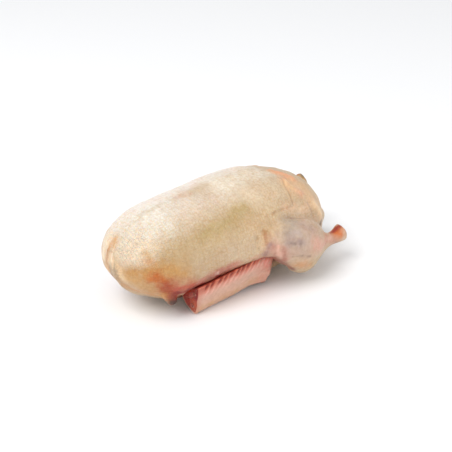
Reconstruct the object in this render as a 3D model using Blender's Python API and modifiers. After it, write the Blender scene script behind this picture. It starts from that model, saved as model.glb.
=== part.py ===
"""A whole raw goose, plucked and dressed, lying on its back with the breast up.

Head, neck, feet and wing tips are cut off. The neck end points to -X and the tail to +X, and
the bird's right side faces -Y. The origin is under the middle of its box, on the surface it
rests on. All lengths are metres.
"""

import math

import bmesh
import bpy
import numpy as np
from mathutils import Matrix, Vector

# Driving dimensions
BODY_LENGTH = 0.372
BODY_HALF_WIDTH = 0.092
BODY_HEIGHT = 0.160
LEG_LENGTH = 0.180
DRUMSTICK_RADIUS = 0.040
FOREARM_LENGTH = 0.157
FOREARM_RADIUS = 0.025
FOREARM_ROLL = math.radians(-4)
FOREARM_SQUARENESS = 3.2
FOREARM_PINCH = 0.3
UPPER_ARM_LENGTH = 0.164
UPPER_ARM_RADIUS = 0.014
TAIL_LENGTH = 0.084
TAIL_RADIUS = 0.036
SHOULDER_TIP_LENGTH = 0.046
SHOULDER_TIP_RADII = (0.013, 0.003)

# Where each part starts: x, distance from the middle plane, z. The chest starts at the neck.
NECK_END = -0.168
HIP = (0.018, 0.076, 0.080)
WRIST = (-0.080, 0.062, 0.024)
SHOULDER = (-0.092, 0.058, 0.050)
TAIL_ROOT = (0.150, 0.0, 0.034)
SHOULDER_TIP_ROOT = (-0.124, 0.044, 0.064)
SHOULDER_TIP_END = (-0.107, 0.062, 0.026)

# The left leg is swung inwards and up about its hip, so its hock stands over the tail.
LEFT_HOCK_SHIFT = Vector((0.046, -0.044, 0.033))

# Relief of the skin
AXIS_HEIGHT = 0.075
KEEL_RISE = 0.0010
KEEL_HALF_WIDTH = 0.010
BELLY_FOLD = {"width": 0.0050, "depth": 0.0035, "lip": 0.0025}
WING_GAP = {"width": 0.0050, "depth": 0.0055, "lip": 0.0010}
NECK_FOLD = {"width": 0.0045, "depth": 0.0035, "lip": 0.0025}

# Mesh settings
RING_POINTS = 12
VOXEL = 0.0030
SMOOTH_FACTOR = 0.5
UNION_SMOOTH_ROUNDS = 4
RELIEF_SMOOTH_ROUNDS = 3
MOST_TRIANGLES = 11400
FLAT_BOTTOM = 0.0020

# A Catmull-Clark ring sinks to this share of its cage, so every cage ring is made larger by it.
RING_SHRINK = (4 + 2 * math.cos(2 * math.pi / RING_POINTS)) / 6

SKIN_COLOUR = (0.72, 0.52, 0.33, 1.0)
SKIN_ROUGHNESS = 0.45


def clear_scene():
    for found in list(bpy.data.objects):
        bpy.data.objects.remove(found, do_unlink=True)


def ring(centre, half_width, above, below, lean=0.0, roll=0.0, square=2.0, pinch=0.0):
    """One cage ring across X: a superellipse whose upper and lower halves have their own heights.

    lean moves its top towards the tail by that share of the height, roll turns it about X, and
    pinch narrows it downwards and widens it upwards by that share.
    """
    points = []
    for i in range(RING_POINTS):
        angle = 2 * math.pi * (i + 0.5) / RING_POINTS
        across, up = math.cos(angle), math.sin(angle)
        across = math.copysign(abs(across) ** (2 / square), across)
        up = math.copysign(abs(up) ** (2 / square), up)
        across *= (1 + pinch * up) * half_width / RING_SHRINK
        up *= (above if up > 0 else below) / RING_SHRINK
        turned = Vector((lean * up, across, up))
        turned.rotate(Matrix.Rotation(roll, 3, "X"))
        points.append(centre + turned)
    return points


def add_mesh_object(name, cage, collection):
    mesh = bpy.data.meshes.new(name)
    cage.to_mesh(mesh)
    cage.free()
    piece = bpy.data.objects.new(name, mesh)
    collection.objects.link(piece)
    return piece


def loft(name, rings, collection, levels=2):
    """A closed cage through the rings, rounded by Subdivision Surface."""
    cage = bmesh.new()
    rows = [[cage.verts.new(p) for p in points] for points in rings]
    for near, far in zip(rows, rows[1:]):
        for i in range(RING_POINTS):
            j = (i + 1) % RING_POINTS
            cage.faces.new((near[i], near[j], far[j], far[i]))
    cage.faces.new(list(reversed(rows[0])))
    cage.faces.new(rows[-1])
    bmesh.ops.recalc_face_normals(cage, faces=cage.faces)
    piece = add_mesh_object(name, cage, collection)
    rounding = piece.modifiers.new("rounding", "SUBSURF")
    rounding.levels = rounding.render_levels = levels
    return piece


def limb_rings(rows, start, length, radius, side, roll=0.0, square=2.0, pinch=0.0):
    """Rings of a limb that runs towards the tail.

    Each row: share of the length, then as shares of the radius how far out and up the ring's
    centre is from the start, its half width and its half height, and last its lean.
    """
    rings = []
    for along, out, up, width, height, lean in rows:
        x, y, z = start
        centre = Vector((x + along * length, side * (y + out * radius), z + up * radius))
        half_height = height * radius
        rings.append(
            ring(
                centre, width * radius, half_height, half_height,
                lean=lean, roll=side * roll, square=square, pinch=pinch,
            )
        )
    return rings


def carcass(collection):
    """Breast, flanks, back and belly.

    Each row: share of the length, then half width, bottom, widest height and top as shares of
    the body's half width and height.
    """
    rows = (
        (0.000, 0.22, 0.43, 0.53, 0.61),
        (0.013, 0.42, 0.33, 0.51, 0.72),
        (0.067, 0.67, 0.19, 0.49, 0.85),
        (0.164, 0.87, 0.08, 0.47, 0.92),
        (0.320, 0.93, 0.02, 0.47, 0.94),
        (0.495, 1.00, 0.00, 0.47, 0.99),
        (0.656, 1.00, 0.00, 0.45, 1.00),
        (0.777, 0.92, 0.00, 0.42, 0.93),
        (0.874, 0.79, 0.02, 0.39, 0.85),
        (0.949, 0.61, 0.07, 0.38, 0.74),
        (0.997, 0.39, 0.15, 0.36, 0.58),
    )
    rings = []
    for along, width, low, widest, top in rows:
        centre = Vector((NECK_END + along * BODY_LENGTH, 0, widest * BODY_HEIGHT))
        above = (top - widest) * BODY_HEIGHT
        below = (widest - low) * BODY_HEIGHT
        rings.append(ring(centre, width * BODY_HALF_WIDTH, above, below))
    return loft("carcass", rings, collection, levels=3)


def tail(collection):
    """The tail stump, a blunt flat cone at the low end of the belly."""
    rows = (
        (0.00, 0, 0.00, 1.10, 0.83, 0),
        (0.48, 0, 0.17, 0.94, 0.78, 0),
        (0.74, 0, 0.22, 0.75, 0.67, 0),
        (0.93, 0, 0.17, 0.50, 0.50, 0),
        (1.00, 0, 0.14, 0.28, 0.28, 0),
    )
    return loft("tail", limb_rings(rows, TAIL_ROOT, TAIL_LENGTH, TAIL_RADIUS, 1), collection)


def leg(name, side, hock_shift, collection):
    """Thigh and drumstick, then the bare shank with its flared hock end."""
    rows = (
        (0.00, 0.00, 0.00, 0.40, 0.50, 0.0),
        (0.10, 0.10, -0.12, 0.70, 0.82, 0.0),
        (0.30, 0.20, -0.24, 0.88, 0.94, 0.0),
        (0.50, 0.25, -0.60, 0.88, 1.20, 0.1),
        (0.64, 0.25, -0.68, 0.63, 0.88, 0.2),
        (0.75, 0.25, -0.78, 0.33, 0.40, 0.0),
        (0.84, 0.25, -0.85, 0.20, 0.23, 0.0),
        (0.92, 0.25, -0.82, 0.23, 0.30, -0.3),
        (0.99, 0.22, -0.75, 0.30, 0.39, -0.4),
        (1.00, 0.22, -0.75, 0.27, 0.36, -0.4),
    )
    rings = limb_rings(rows, HIP, LEG_LENGTH, DRUMSTICK_RADIUS, side)
    for row, points in zip(rows, rings):
        share = row[0]
        for point in points:
            point += share * hock_shift
    return loft(name, rings, collection)


def upper_arm(name, side, collection):
    """The upper arm, folded between the body and the forearm."""
    rows = (
        (0.00, 0.00, 0.00, 0.70, 0.85, 0),
        (0.10, 0.43, 0.00, 1.00, 1.07, 0),
        (0.44, 1.00, 0.00, 0.93, 0.93, 0),
        (0.77, 0.86, 0.00, 0.93, 1.00, 0),
        (0.93, 0.43, -0.29, 0.93, 1.00, 0),
        (1.00, 0.00, -0.71, 0.64, 0.71, 0),
    )
    rings = limb_rings(rows, SHOULDER, UPPER_ARM_LENGTH, UPPER_ARM_RADIUS, side)
    return loft(name, rings, collection)


def forearm(name, side, collection):
    """The folded forearm, a slab with its flat cut at the neck end and the elbow at the tail end."""
    rows = (
        (0.00, 0.00, 0.00, 0.66, 0.88, 0),
        (0.01, 0.04, 0.00, 0.72, 0.96, 0),
        (0.05, 0.04, 0.04, 0.72, 1.00, 0),
        (0.28, 0.04, 0.16, 0.72, 1.16, 0),
        (0.56, 0.00, 0.28, 0.72, 1.20, 0),
        (0.78, -0.12, 0.34, 0.76, 1.18, 0),
        (0.94, -0.12, 0.36, 0.72, 1.08, 0),
        (1.00, -0.16, 0.40, 0.50, 0.80, 0),
    )
    rings = limb_rings(
        rows, WRIST, FOREARM_LENGTH, FOREARM_RADIUS, side,
        roll=FOREARM_ROLL, square=FOREARM_SQUARENESS, pinch=FOREARM_PINCH,
    )
    return loft(name, rings, collection)


def shoulder_tip(name, side, collection):
    """A small cone of loose skin under the shoulder, ahead of the cut end of the forearm."""
    root = Vector(SHOULDER_TIP_ROOT)
    end = Vector(SHOULDER_TIP_END)
    root.y *= side
    end.y *= side
    axis = end - root
    turn = axis.to_track_quat("Z", "Y").to_matrix().to_4x4()
    cage = bmesh.new()
    bmesh.ops.create_cone(
        cage,
        cap_ends=True,
        segments=RING_POINTS,
        radius1=SHOULDER_TIP_RADII[0],
        radius2=SHOULDER_TIP_RADII[1],
        depth=SHOULDER_TIP_LENGTH,
        matrix=Matrix.Translation((root + end) / 2) @ turn,
    )
    return add_mesh_object(name, cage, collection)


def evaluated_mesh(piece):
    graph = bpy.context.evaluated_depsgraph_get()
    return bpy.data.meshes.new_from_object(piece.evaluated_get(graph))


def add_smoothing(piece, rounds):
    smooth = piece.modifiers.new("smooth", "SMOOTH")
    smooth.factor = SMOOTH_FACTOR
    smooth.iterations = rounds


def join(pieces, collection):
    """One Boolean union, then an even voxel skin, smoothed."""
    first = pieces[0]
    others = bpy.data.collections.new("joined_pieces")
    bpy.context.scene.collection.children.link(others)
    for piece in pieces[1:]:
        collection.objects.unlink(piece)
        others.objects.link(piece)
    union = first.modifiers.new("union", "BOOLEAN")
    union.operation = "UNION"
    union.solver = "MANIFOLD"
    union.operand_type = "COLLECTION"
    union.collection = others
    skin = first.modifiers.new("skin", "REMESH")
    skin.mode = "VOXEL"
    skin.voxel_size = VOXEL
    add_smoothing(first, UNION_SMOOTH_ROUNDS)
    goose = bpy.data.objects.new("goose", evaluated_mesh(first))
    for piece in pieces:
        bpy.data.objects.remove(piece, do_unlink=True)
    bpy.data.collections.remove(others)
    collection.objects.link(goose)
    return goose


def crease(places, path, width, depth, lip):
    """How far a crease moves the skin out, for 2D places beside a path of 2D points.

    The groove runs along the path. A lip stands along its left side.
    """
    nearest = np.full(len(places), np.inf)
    beside = np.zeros(len(places))
    for start, end in zip(np.array(path[:-1]), np.array(path[1:])):
        along = end - start
        offset = places - start
        share = np.clip(offset @ along / (along @ along), 0, 1)
        from_path = offset - share[:, None] * along
        distance = np.linalg.norm(from_path, axis=1)
        closer = distance < nearest
        left = along[0] * offset[:, 1] - along[1] * offset[:, 0] > 0
        nearest[closer] = distance[closer]
        beside[closer] = np.where(left, distance, -distance)[closer]
    groove = -depth * np.exp(-((beside / width) ** 2))
    edge = lip * np.exp(-(((beside - 1.6 * width) / width) ** 2))
    return groove + edge


def unrolled_path(rows):
    """Rows of x and degrees up from the body's side, as places on the unrolled skin."""
    return [(x, math.radians(angle) * BODY_HALF_WIDTH) for x, angle in rows]


def add_relief(goose):
    """The keel, the fold where the breast skin ends, the wing gap and the neck-skin fold."""
    mesh = goose.data
    points = np.empty(len(mesh.vertices) * 3)
    mesh.vertices.foreach_get("co", points)
    points = points.reshape(-1, 3)
    normals = np.array([vertex.normal for vertex in mesh.vertices])
    x, y, z = points.T

    # The skin unrolled: x, and the way round the body from its side, up to the keel.
    around = np.arctan2(z - AXIS_HEIGHT, np.abs(y)) * BODY_HALF_WIDTH
    unrolled = np.column_stack((x, around))
    keel = math.pi / 2 * BODY_HALF_WIDTH
    on_breast = np.clip((0.105 - x) / 0.03, 0, 1)
    out = KEEL_RISE * np.exp(-(((around - keel) / KEEL_HALF_WIDTH) ** 2)) * on_breast

    fold_rows = (
        (0.108, 95), (0.112, 80), (0.121, 66), (0.121, 52),
        (0.118, 38), (0.110, 31), (0.085, 28), (0.050, 29),
    )
    out += crease(unrolled, unrolled_path(fold_rows[::-1]), **BELLY_FOLD)
    gap_rows = (
        (-0.090, -22), (-0.076, -18), (-0.054, -13), (-0.022, -9), (0.020, -8), (0.040, -11),
    )
    out += crease(unrolled, unrolled_path(gap_rows), **WING_GAP)

    # The neck end is seen square on, so its fold is drawn across and up.
    neck_path = ((0.006, 0.118), (0.003, 0.106), (0.002, 0.088), (-0.003, 0.072), (-0.012, 0.058))
    out += crease(points[:, 1:], neck_path, **NECK_FOLD) * (x < -0.12)

    points += normals * out[:, None]
    mesh.vertices.foreach_set("co", points.ravel())
    mesh.update()


def thin(goose):
    """Softens the relief, then makes do with fewer triangles and keeps the form."""
    add_smoothing(goose, RELIEF_SMOOTH_ROUNDS)
    triangles = sum(len(face.vertices) - 2 for face in goose.data.polygons)
    fewer = goose.modifiers.new("fewer", "DECIMATE")
    fewer.ratio = min(1.0, MOST_TRIANGLES / triangles)
    fewer.use_collapse_triangulate = True
    goose.data = evaluated_mesh(goose)
    goose.modifiers.clear()


def seat(goose):
    """Presses the lowest skin flat and puts the origin under the middle of the box."""
    mesh = goose.data
    points = np.empty(len(mesh.vertices) * 3)
    mesh.vertices.foreach_get("co", points)
    points = points.reshape(-1, 3)
    floor = points[:, 2].min() + FLAT_BOTTOM
    points[:, 2] = np.maximum(points[:, 2] - floor, 0)
    points[:, :2] -= (points[:, :2].min(axis=0) + points[:, :2].max(axis=0)) / 2
    mesh.vertices.foreach_set("co", points.ravel())
    mesh.update()


def paint(goose):
    material = bpy.data.materials.new("raw_skin")
    material.use_nodes = True
    shader = material.node_tree.nodes["Principled BSDF"]
    shader.inputs["Base Color"].default_value = SKIN_COLOUR
    shader.inputs["Roughness"].default_value = SKIN_ROUGHNESS
    shader.inputs["Metallic"].default_value = 0.0
    goose.data.materials.append(material)
    goose.data.shade_smooth()


def main():
    clear_scene()
    collection = bpy.data.collections.new("raw_goose")
    bpy.context.scene.collection.children.link(collection)
    pieces = [carcass(collection), tail(collection)]
    for side, name, hock_shift in ((-1, "right", Vector()), (1, "left", LEFT_HOCK_SHIFT)):
        pieces.append(leg(f"leg_{name}", side, hock_shift, collection))
        pieces.append(upper_arm(f"upper_arm_{name}", side, collection))
        pieces.append(forearm(f"forearm_{name}", side, collection))
        pieces.append(shoulder_tip(f"shoulder_tip_{name}", side, collection))
    goose = join(pieces, collection)
    add_relief(goose)
    thin(goose)
    seat(goose)
    paint(goose)


main()
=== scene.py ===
"""A whole raw goose, plucked and dressed, lying breast up on a pale surface.

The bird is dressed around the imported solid. Sizes are in metres in the bird's own frame: x runs
from the neck end to the tail, out is the distance from the middle plane, z is up. Paths over the
skin, and the radii that go with them, are in millimetres.
"""

import math

import bpy
import numpy as np
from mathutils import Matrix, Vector


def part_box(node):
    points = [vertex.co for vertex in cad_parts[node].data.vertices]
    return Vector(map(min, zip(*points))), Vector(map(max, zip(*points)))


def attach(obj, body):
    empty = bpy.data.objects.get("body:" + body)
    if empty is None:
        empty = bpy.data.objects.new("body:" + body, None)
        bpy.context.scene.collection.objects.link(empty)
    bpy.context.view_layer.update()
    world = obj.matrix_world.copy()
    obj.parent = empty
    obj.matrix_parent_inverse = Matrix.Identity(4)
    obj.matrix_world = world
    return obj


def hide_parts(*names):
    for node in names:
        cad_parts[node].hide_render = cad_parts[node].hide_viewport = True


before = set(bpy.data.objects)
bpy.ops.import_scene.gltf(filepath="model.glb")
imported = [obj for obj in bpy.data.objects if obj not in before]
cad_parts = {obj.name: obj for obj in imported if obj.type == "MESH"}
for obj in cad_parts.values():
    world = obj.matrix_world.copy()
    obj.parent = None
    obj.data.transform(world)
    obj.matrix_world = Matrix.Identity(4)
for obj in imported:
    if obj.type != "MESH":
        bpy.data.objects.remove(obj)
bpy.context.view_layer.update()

scene = bpy.context.scene
scene.view_settings.view_transform = "Standard"

# Camera.
# It stands at the bird's front right, a little above it, and looks down on the near flank.
VIEW_TURN = math.radians(-40)
VIEW_RISE = math.radians(27)
VIEW_DISTANCE = 1.6
VIEW_AIM = Vector((0.009, 0.016, 0.0711))
SENSOR_WIDTH = 36
PICTURE_PIXELS = 452
PIXELS_PER_METRE = 663


def added(name, data):
    """A new object with that data, put into the scene."""
    made = bpy.data.objects.new(name, data)
    scene.collection.objects.link(made)
    return made


camera_data = bpy.data.cameras.new("camera")
camera_data.sensor_width = SENSOR_WIDTH
camera_data.lens = SENSOR_WIDTH * PIXELS_PER_METRE * VIEW_DISTANCE / PICTURE_PIXELS
camera = added("camera", camera_data)
towards_camera = Vector((
    math.sin(VIEW_TURN) * math.cos(VIEW_RISE),
    -math.cos(VIEW_TURN) * math.cos(VIEW_RISE),
    math.sin(VIEW_RISE),
))
camera.location = VIEW_AIM + VIEW_DISTANCE * towards_camera
camera.rotation_euler = (-towards_camera).to_track_quat("-Z", "Y").to_euler()
scene.camera = camera

# Light and floor.
# A large soft box above and to the left, a weak one in front, and white walls all round.
# The floor is a plain matt white board, just under the bird.
BOARD_REACH = 4.0
BOARD_HEIGHT = -0.0006
BOARD_WHITE = 0.92

world = bpy.data.worlds.new("white_walls")
world.use_nodes = True
walls_light = world.node_tree.nodes["Background"]
walls_light.inputs["Color"].default_value = (0.97, 0.98, 1.0, 1)
walls_light.inputs["Strength"].default_value = 0.75
scene.world = world


def soft_box(name, place, watts, size):
    """A square light of that size, turned to the bird."""
    data = bpy.data.lights.new(name, "AREA")
    data.energy = watts
    data.size = size
    lamp = added(name, data)
    lamp.location = place
    lamp.rotation_euler = (VIEW_AIM - lamp.location).to_track_quat("-Z", "Y").to_euler()


soft_box("soft_box_above", (-2.1, -0.2, 2.9), watts=80, size=2.0)
soft_box("soft_box_front", (1.2, -2.6, 1.3), watts=14, size=1.6)

board_mesh = bpy.data.meshes.new("board")
board_signs = ((-1, -1), (1, -1), (1, 1), (-1, 1))
board_corners = [(BOARD_REACH * x, BOARD_REACH * y, BOARD_HEIGHT) for x, y in board_signs]
board_mesh.from_pydata(board_corners, [], [(0, 1, 2, 3)])
board = added("board", board_mesh)
board_paint = bpy.data.materials.new("matt_white_board")
board_paint.use_nodes = True
board_shader = board_paint.node_tree.nodes["Principled BSDF"]
board_shader.inputs["Base Color"].default_value = (BOARD_WHITE, BOARD_WHITE, BOARD_WHITE, 1)
board_shader.inputs["Roughness"].default_value = 0.9
board_mesh.materials.append(board_paint)

# Skin of the body, legs and shoulders.
# One whole plucked skin over breast, flanks, back, rump, thighs and shanks. It is pale fat
# skin with rows of feather pores, yellow where fat lies under it and grey over the leg muscle.
BODY_LENGTH = 0.372
BODY_HALF_WIDTH = 0.092
BODY_HEIGHT = 0.16
NECK_END = -0.168
AXIS_HEIGHT = 0.075
LEG_LENGTH = 0.18
DRUMSTICK_RADIUS = 0.04
HIP = np.array((0.018, 0.076, 0.08))
LEFT_HOCK_SHIFT = np.array((0.038, -0.044, 0.031))
UPPER_ARM_LENGTH = 0.164
UPPER_ARM_RADIUS = 0.014
SHOULDER = np.array((-0.092, 0.058, 0.05))
TAIL_LENGTH = 0.084
TAIL_RADIUS = 0.036
TAIL_ROOT = np.array((0.15, 0.0, 0.034))
CONE_ROOT = np.array((-0.126, 0.044, 0.066))
CONE_END = np.array((-0.11, 0.0622, 0.0285))
SKIN_VOXEL = 0.0018
PORE_SPACING = 0.0046

# Where the bird's own frame lies: the middle of its box is this far along and out.
low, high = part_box("goose")
PLACE = np.array(((low.x + high.x) / 2 - 0.0352, (low.y + high.y) / 2 + 0.0058, low.z - 0.001))


def carried(rows, count):
    """Rows of numbers carried evenly from the second row to the last but one.

    A uniform cubic B-spline: each place is a weighted mean of the four rows around it, with the
    weights (1-u)^3, 3u^3-6u^2+4, -3u^3+3u^2+3u+1 and u^3, all over 6.
    """
    place = np.linspace(1, len(rows) - 2, count)
    before = np.minimum(place.astype(int), len(rows) - 3)
    u = (place - before)[:, None]
    weights = ((1 - u) ** 3, 3 * u**3 - 6 * u**2 + 4, -3 * u**3 + 3 * u**2 + 3 * u + 1, u**3)
    return sum(weight * rows[before + step - 1] for step, weight in enumerate(weights)) / 6


def closed_rows(rows, sizes):
    """Adds a point and a turned-over ring beyond each end, so the surface ends square and shut."""
    rows = np.array(rows, float)
    ends = []
    for row, share in ((rows[0], -1), (rows[0], 0), (rows[-1], 0), (rows[-1], -1)):
        ends.append(row.copy())
        ends[-1][sizes] *= share
    return np.vstack((ends[:2], rows, ends[2:]))


def tube(rows, along, around, across=(0, 1, 0), up=(0, 0, 1)):
    """A closed surface of two parameters, the way along and the angle around.

    Each row holds the ring's centre, half width, height above, height below and lean. The ring is
    centre + half width * cos(angle) * across + height * sin(angle) * up, leaning along x.
    """
    way = carried(closed_rows(rows, slice(3, 6)), along)[:, :, None]
    angle = 2 * np.pi * (np.arange(around) + 0.5) / around
    rise = np.where(np.sin(angle) > 0, way[:, 4], way[:, 5]) * np.sin(angle)
    side = way[:, 3] * np.cos(angle)
    turned = side[..., None] * np.array(across) + rise[..., None] * np.array(up)
    turned[..., 0] += way[:, 6] * rise
    return way[:, :3].transpose(0, 2, 1) + turned


def limb(rows, start, length, radius, side, shift=0.0):
    """A tube's rows for a limb towards the tail. The shift is added in step with the share of the length."""
    share, out, up, wide, tall, lean = np.array(rows, float).T
    place = (start[0] + share * length, side * (start[1] + out * radius), start[2] + up * radius)
    centre = np.column_stack(place) + share[:, None] * shift
    return np.column_stack((centre, wide * radius, tall * radius, tall * radius, lean))


# Body: share of the length, then half width, lowest, widest and highest place as shares.
body_rows = np.array((
    (0, 0.22, 0.43, 0.53, 0.61),
    (0.013, 0.42, 0.33, 0.51, 0.72),
    (0.067, 0.67, 0.19, 0.49, 0.85),
    (0.164, 0.87, 0.08, 0.47, 0.92),
    (0.32, 0.93, 0.02, 0.47, 0.94),
    (0.495, 1, 0, 0.47, 0.99),
    (0.656, 1, 0, 0.45, 1),
    (0.777, 0.92, 0, 0.42, 0.93),
    (0.874, 0.79, 0.02, 0.39, 0.85),
    (0.949, 0.61, 0.07, 0.38, 0.74),
    (0.997, 0.39, 0.15, 0.36, 0.58),
))
# Limbs: share of the length, then out, up, half width and half height as shares of the radius, lean.
tail_rows = (
    (0, 0, 0, 1.1, 0.83, 0),
    (0.48, 0, 0.17, 0.94, 0.78, 0),
    (0.74, 0, 0.22, 0.75, 0.67, 0),
    (0.93, 0, 0.17, 0.5, 0.5, 0),
    (1, 0, 0.14, 0.28, 0.28, 0),
)
leg_rows = (
    (0, 0, 0, 0.4, 0.5, 0),
    (0.1, 0.1, 0.1, 0.7, 0.55, 0),
    (0.3, 0.2, -0.24, 0.88, 0.94, 0),
    (0.5, 0.25, -0.6, 0.88, 1.2, 0.1),
    (0.64, 0.25, -0.68, 0.63, 0.88, 0.2),
    (0.75, 0.25, -0.78, 0.33, 0.4, 0),
    (0.84, 0.25, -0.85, 0.2, 0.23, 0),
    (0.92, 0.25, -0.82, 0.23, 0.3, -0.3),
    (0.99, 0.22, -0.75, 0.3, 0.39, -0.4),
    (1, 0.22, -0.75, 0.27, 0.36, -0.4),
)
upper_arm_rows = (
    (0, 0, 0, 0.7, 0.85, 0),
    (0.1, 0.43, 0, 1, 1.07, 0),
    (0.44, 0.7, 0, 0.9, 0.93, 0),
    (0.7, 0, -0.2, 0.8, 0.85, 0),
    (0.88, -0.4, -0.3, 0.7, 0.8, 0),
    (0.97, -0.6, -0.6, 0.5, 0.6, 0),
)
# Cone: share of its length, radius.
cone_rows = np.array((
    (0, 0.015), (0.3, 0.0126), (0.55, 0.0106), (0.75, 0.0092), (0.92, 0.0076), (1, 0.0056),
))

along, wide, bottom, widest, top = body_rows.T
body = tube(
    np.column_stack((
        NECK_END + along * BODY_LENGTH, 0 * along, widest * BODY_HEIGHT, wide * BODY_HALF_WIDTH,
        (top - widest) * BODY_HEIGHT, (widest - bottom) * BODY_HEIGHT, 0 * along,
    )),
    along=160, around=160,
)
shells = [body, tube(limb(tail_rows, TAIL_ROOT, TAIL_LENGTH, TAIL_RADIUS, 1), along=60, around=80)]
for side, shift in ((-1, 0.0), (1, LEFT_HOCK_SHIFT)):
    leg = limb(leg_rows, HIP, LEG_LENGTH, DRUMSTICK_RADIUS, side, shift)
    shells.append(tube(leg, along=120, around=80))
    upper_arm = limb(upper_arm_rows, SHOULDER, UPPER_ARM_LENGTH, UPPER_ARM_RADIUS, side)
    shells.append(tube(upper_arm, along=90, around=40))
    # The loose cone of skin below the shoulder: rings square to its own axis, which points down.
    cone_run = (CONE_END - CONE_ROOT) * (1, side, 1)
    axis = cone_run / np.linalg.norm(cone_run)
    cone_across = np.cross((0, 0, 1), axis)
    cone_across /= np.linalg.norm(cone_across)
    reach, girth = cone_rows.T
    centres = CONE_ROOT * (1, side, 1) + reach[:, None] * cone_run
    cone = np.column_stack((centres, girth, girth, girth, 0 * girth))
    shells.append(tube(cone, along=50, around=40, across=cone_across, up=np.cross(axis, cone_across)))


def rows_of(grid):
    """A closed grid's corners one by one, with its first and last rings as one point each."""
    return np.vstack((grid[0, :1], grid[1:-1].reshape(-1, 3), grid[-1, :1]))


def mesh_of(name, grids, mirrored=False):
    """One smooth mesh of closed grids of rings. Mirrored ones have their faces turned outwards again."""
    corners, faces = [], []
    for grid in grids:
        count, around = grid.shape[0] - 2, grid.shape[1]
        start = sum(len(points) for points in corners)
        corners.append(rows_of(grid))
        ring = start + 1 + np.arange(count)[:, None] * around
        here, beyond = np.arange(around), (np.arange(around) + 1) % around
        walls = np.stack((ring[:-1] + here, ring[:-1] + beyond, ring[1:] + beyond, ring[1:] + here), axis=-1)
        first = np.stack((np.full(around, start), ring[0] + beyond, ring[0] + here), axis=-1)
        last_point = np.full(around, start + len(corners[-1]) - 1)
        last = np.stack((last_point, ring[-1] + here, ring[-1] + beyond), axis=-1)
        faces += walls.reshape(-1, 4).tolist() + first.tolist() + last.tolist()
    mesh = bpy.data.meshes.new(name)
    mesh.from_pydata(np.vstack(corners), [], [face[::-1] for face in faces] if mirrored else faces)
    mesh.shade_smooth()
    return mesh


rough = added("rough_skin", mesh_of("rough_skin", shells))
fuse = rough.modifiers.new("fuse", "REMESH")
fuse.mode = "VOXEL"
fuse.voxel_size = SKIN_VOXEL
skin_mesh = bpy.data.meshes.new_from_object(rough.evaluated_get(bpy.context.evaluated_depsgraph_get()))
bpy.data.objects.remove(rough)


def corners_of(mesh, what="co"):
    """The mesh's corners, or their normals, as rows of three."""
    found = np.empty(len(mesh.vertices) * 3, np.float32)
    mesh.vertices.foreach_get(what, found)
    return found.reshape(-1, 3).astype(float)


def relaxed(points, links, rounds, share):
    """Each corner moves that share of the way to the middle of its neighbours, so many rounds."""
    one, two = links.T
    count = len(points)
    near_count = np.bincount(one, minlength=count) + np.bincount(two, minlength=count)
    for _ in range(rounds):
        middle = np.stack([
            np.bincount(one, points[two, axis], count) + np.bincount(two, points[one, axis], count)
            for axis in range(3)
        ], 1) / near_count[:, None]
        points = points + (middle - points) * share
    return points


def bell(values, middle, width):
    """1 at the middle and falling on both sides: e^-((value - middle) / width)^2."""
    return np.exp(-(((values - middle) / width) ** 2))


def between(values, start, end):
    """0 at the start and 1 at the end, even in between and held beyond."""
    return np.clip((values - start) / (end - start), 0, 1)


def below(values, place, width):
    """1 below the place and 0 above it, smooth over the width: 1 / (1 + e^((value - place) / width))."""
    return 1 / (1 + np.exp((values - place) / width))


def eased(path, count=12):
    """A path carried smoothly past its points, by the same spline, from its first to its last."""
    path = np.atleast_2d(np.array(path, float))
    if len(path) < 3:
        return path
    return carried(np.vstack((2 * path[0] - path[1], path, 2 * path[-1] - path[-2])), count)


def stretches(places, path):
    """For each stretch of a path: its run, the places from its start, and their distance to it."""
    for start, end in zip(path[:-1], path[1:]):
        run, offset = end - start, places - start
        share = np.clip(offset @ run / max(run @ run, 1e-12), 0, 1)
        yield run, offset, np.linalg.norm(offset - share[:, None] * run, axis=1)


def near(places, path, radius, power=2.0):
    """How close each place is to an eased path, 1 on it: e^-(distance / radius)^power.

    The path, which may be one point, and the radius are in millimetres.
    """
    path = eased(path) / 1000
    path = path if len(path) > 1 else path.repeat(2, axis=0)
    distance = np.min([away for _, _, away in stretches(places, path)], axis=0)
    return np.exp(-((distance / (radius / 1000)) ** power))


def lumps(places, length, seed, count=14):
    """Soft unevenness from -1 to 1: the mean of plane waves of about that length, in seeded directions."""
    chance = np.random.default_rng(seed)
    ways = chance.normal(size=(3, count))
    ways *= 2 * np.pi / (np.linalg.norm(ways, axis=0) * length * chance.uniform(0.7, 1.4, count))
    return np.sin(places @ ways + chance.uniform(0, 2 * np.pi, count)).mean(axis=1) * 2.2


def fold(places, path, width, depth, lip):
    """A crease along a path of points on the unrolled skin, with a lip along its left side.

    The groove is -depth * e^-(distance / width)^2 and the lip the same bell 1.6 widths to the left.
    """
    nearest = np.full(len(places), np.inf)
    beside = np.zeros(len(places))
    for run, offset, distance in stretches(places, eased(path, 40)):
        closer = distance < nearest
        nearest[closer] = distance[closer]
        left = run[0] * offset[:, 1] - run[1] * offset[:, 0] > 0
        beside[closer] = np.where(left, distance, -distance)[closer]
    return lip * bell(beside, 1.6 * width, width) - depth * bell(beside, 0, width)


links = np.empty(len(skin_mesh.edges) * 2, np.int32)
skin_mesh.edges.foreach_get("vertices", links)
skin = corners_of(skin_mesh)
x, y, z = skin.T
thin_parts = (x > 0.14) & (np.abs(y) > 0.04) | (z < 0.045) & (x < -0.095)
skin = relaxed(skin, links.reshape(-1, 2), rounds=12, share=np.where(thin_parts, 0.25, 0.5)[:, None])
skin_mesh.vertices.foreach_set("co", skin.astype(np.float32).ravel())
skin_mesh.update()
outward = corners_of(skin_mesh, "normal")

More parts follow.
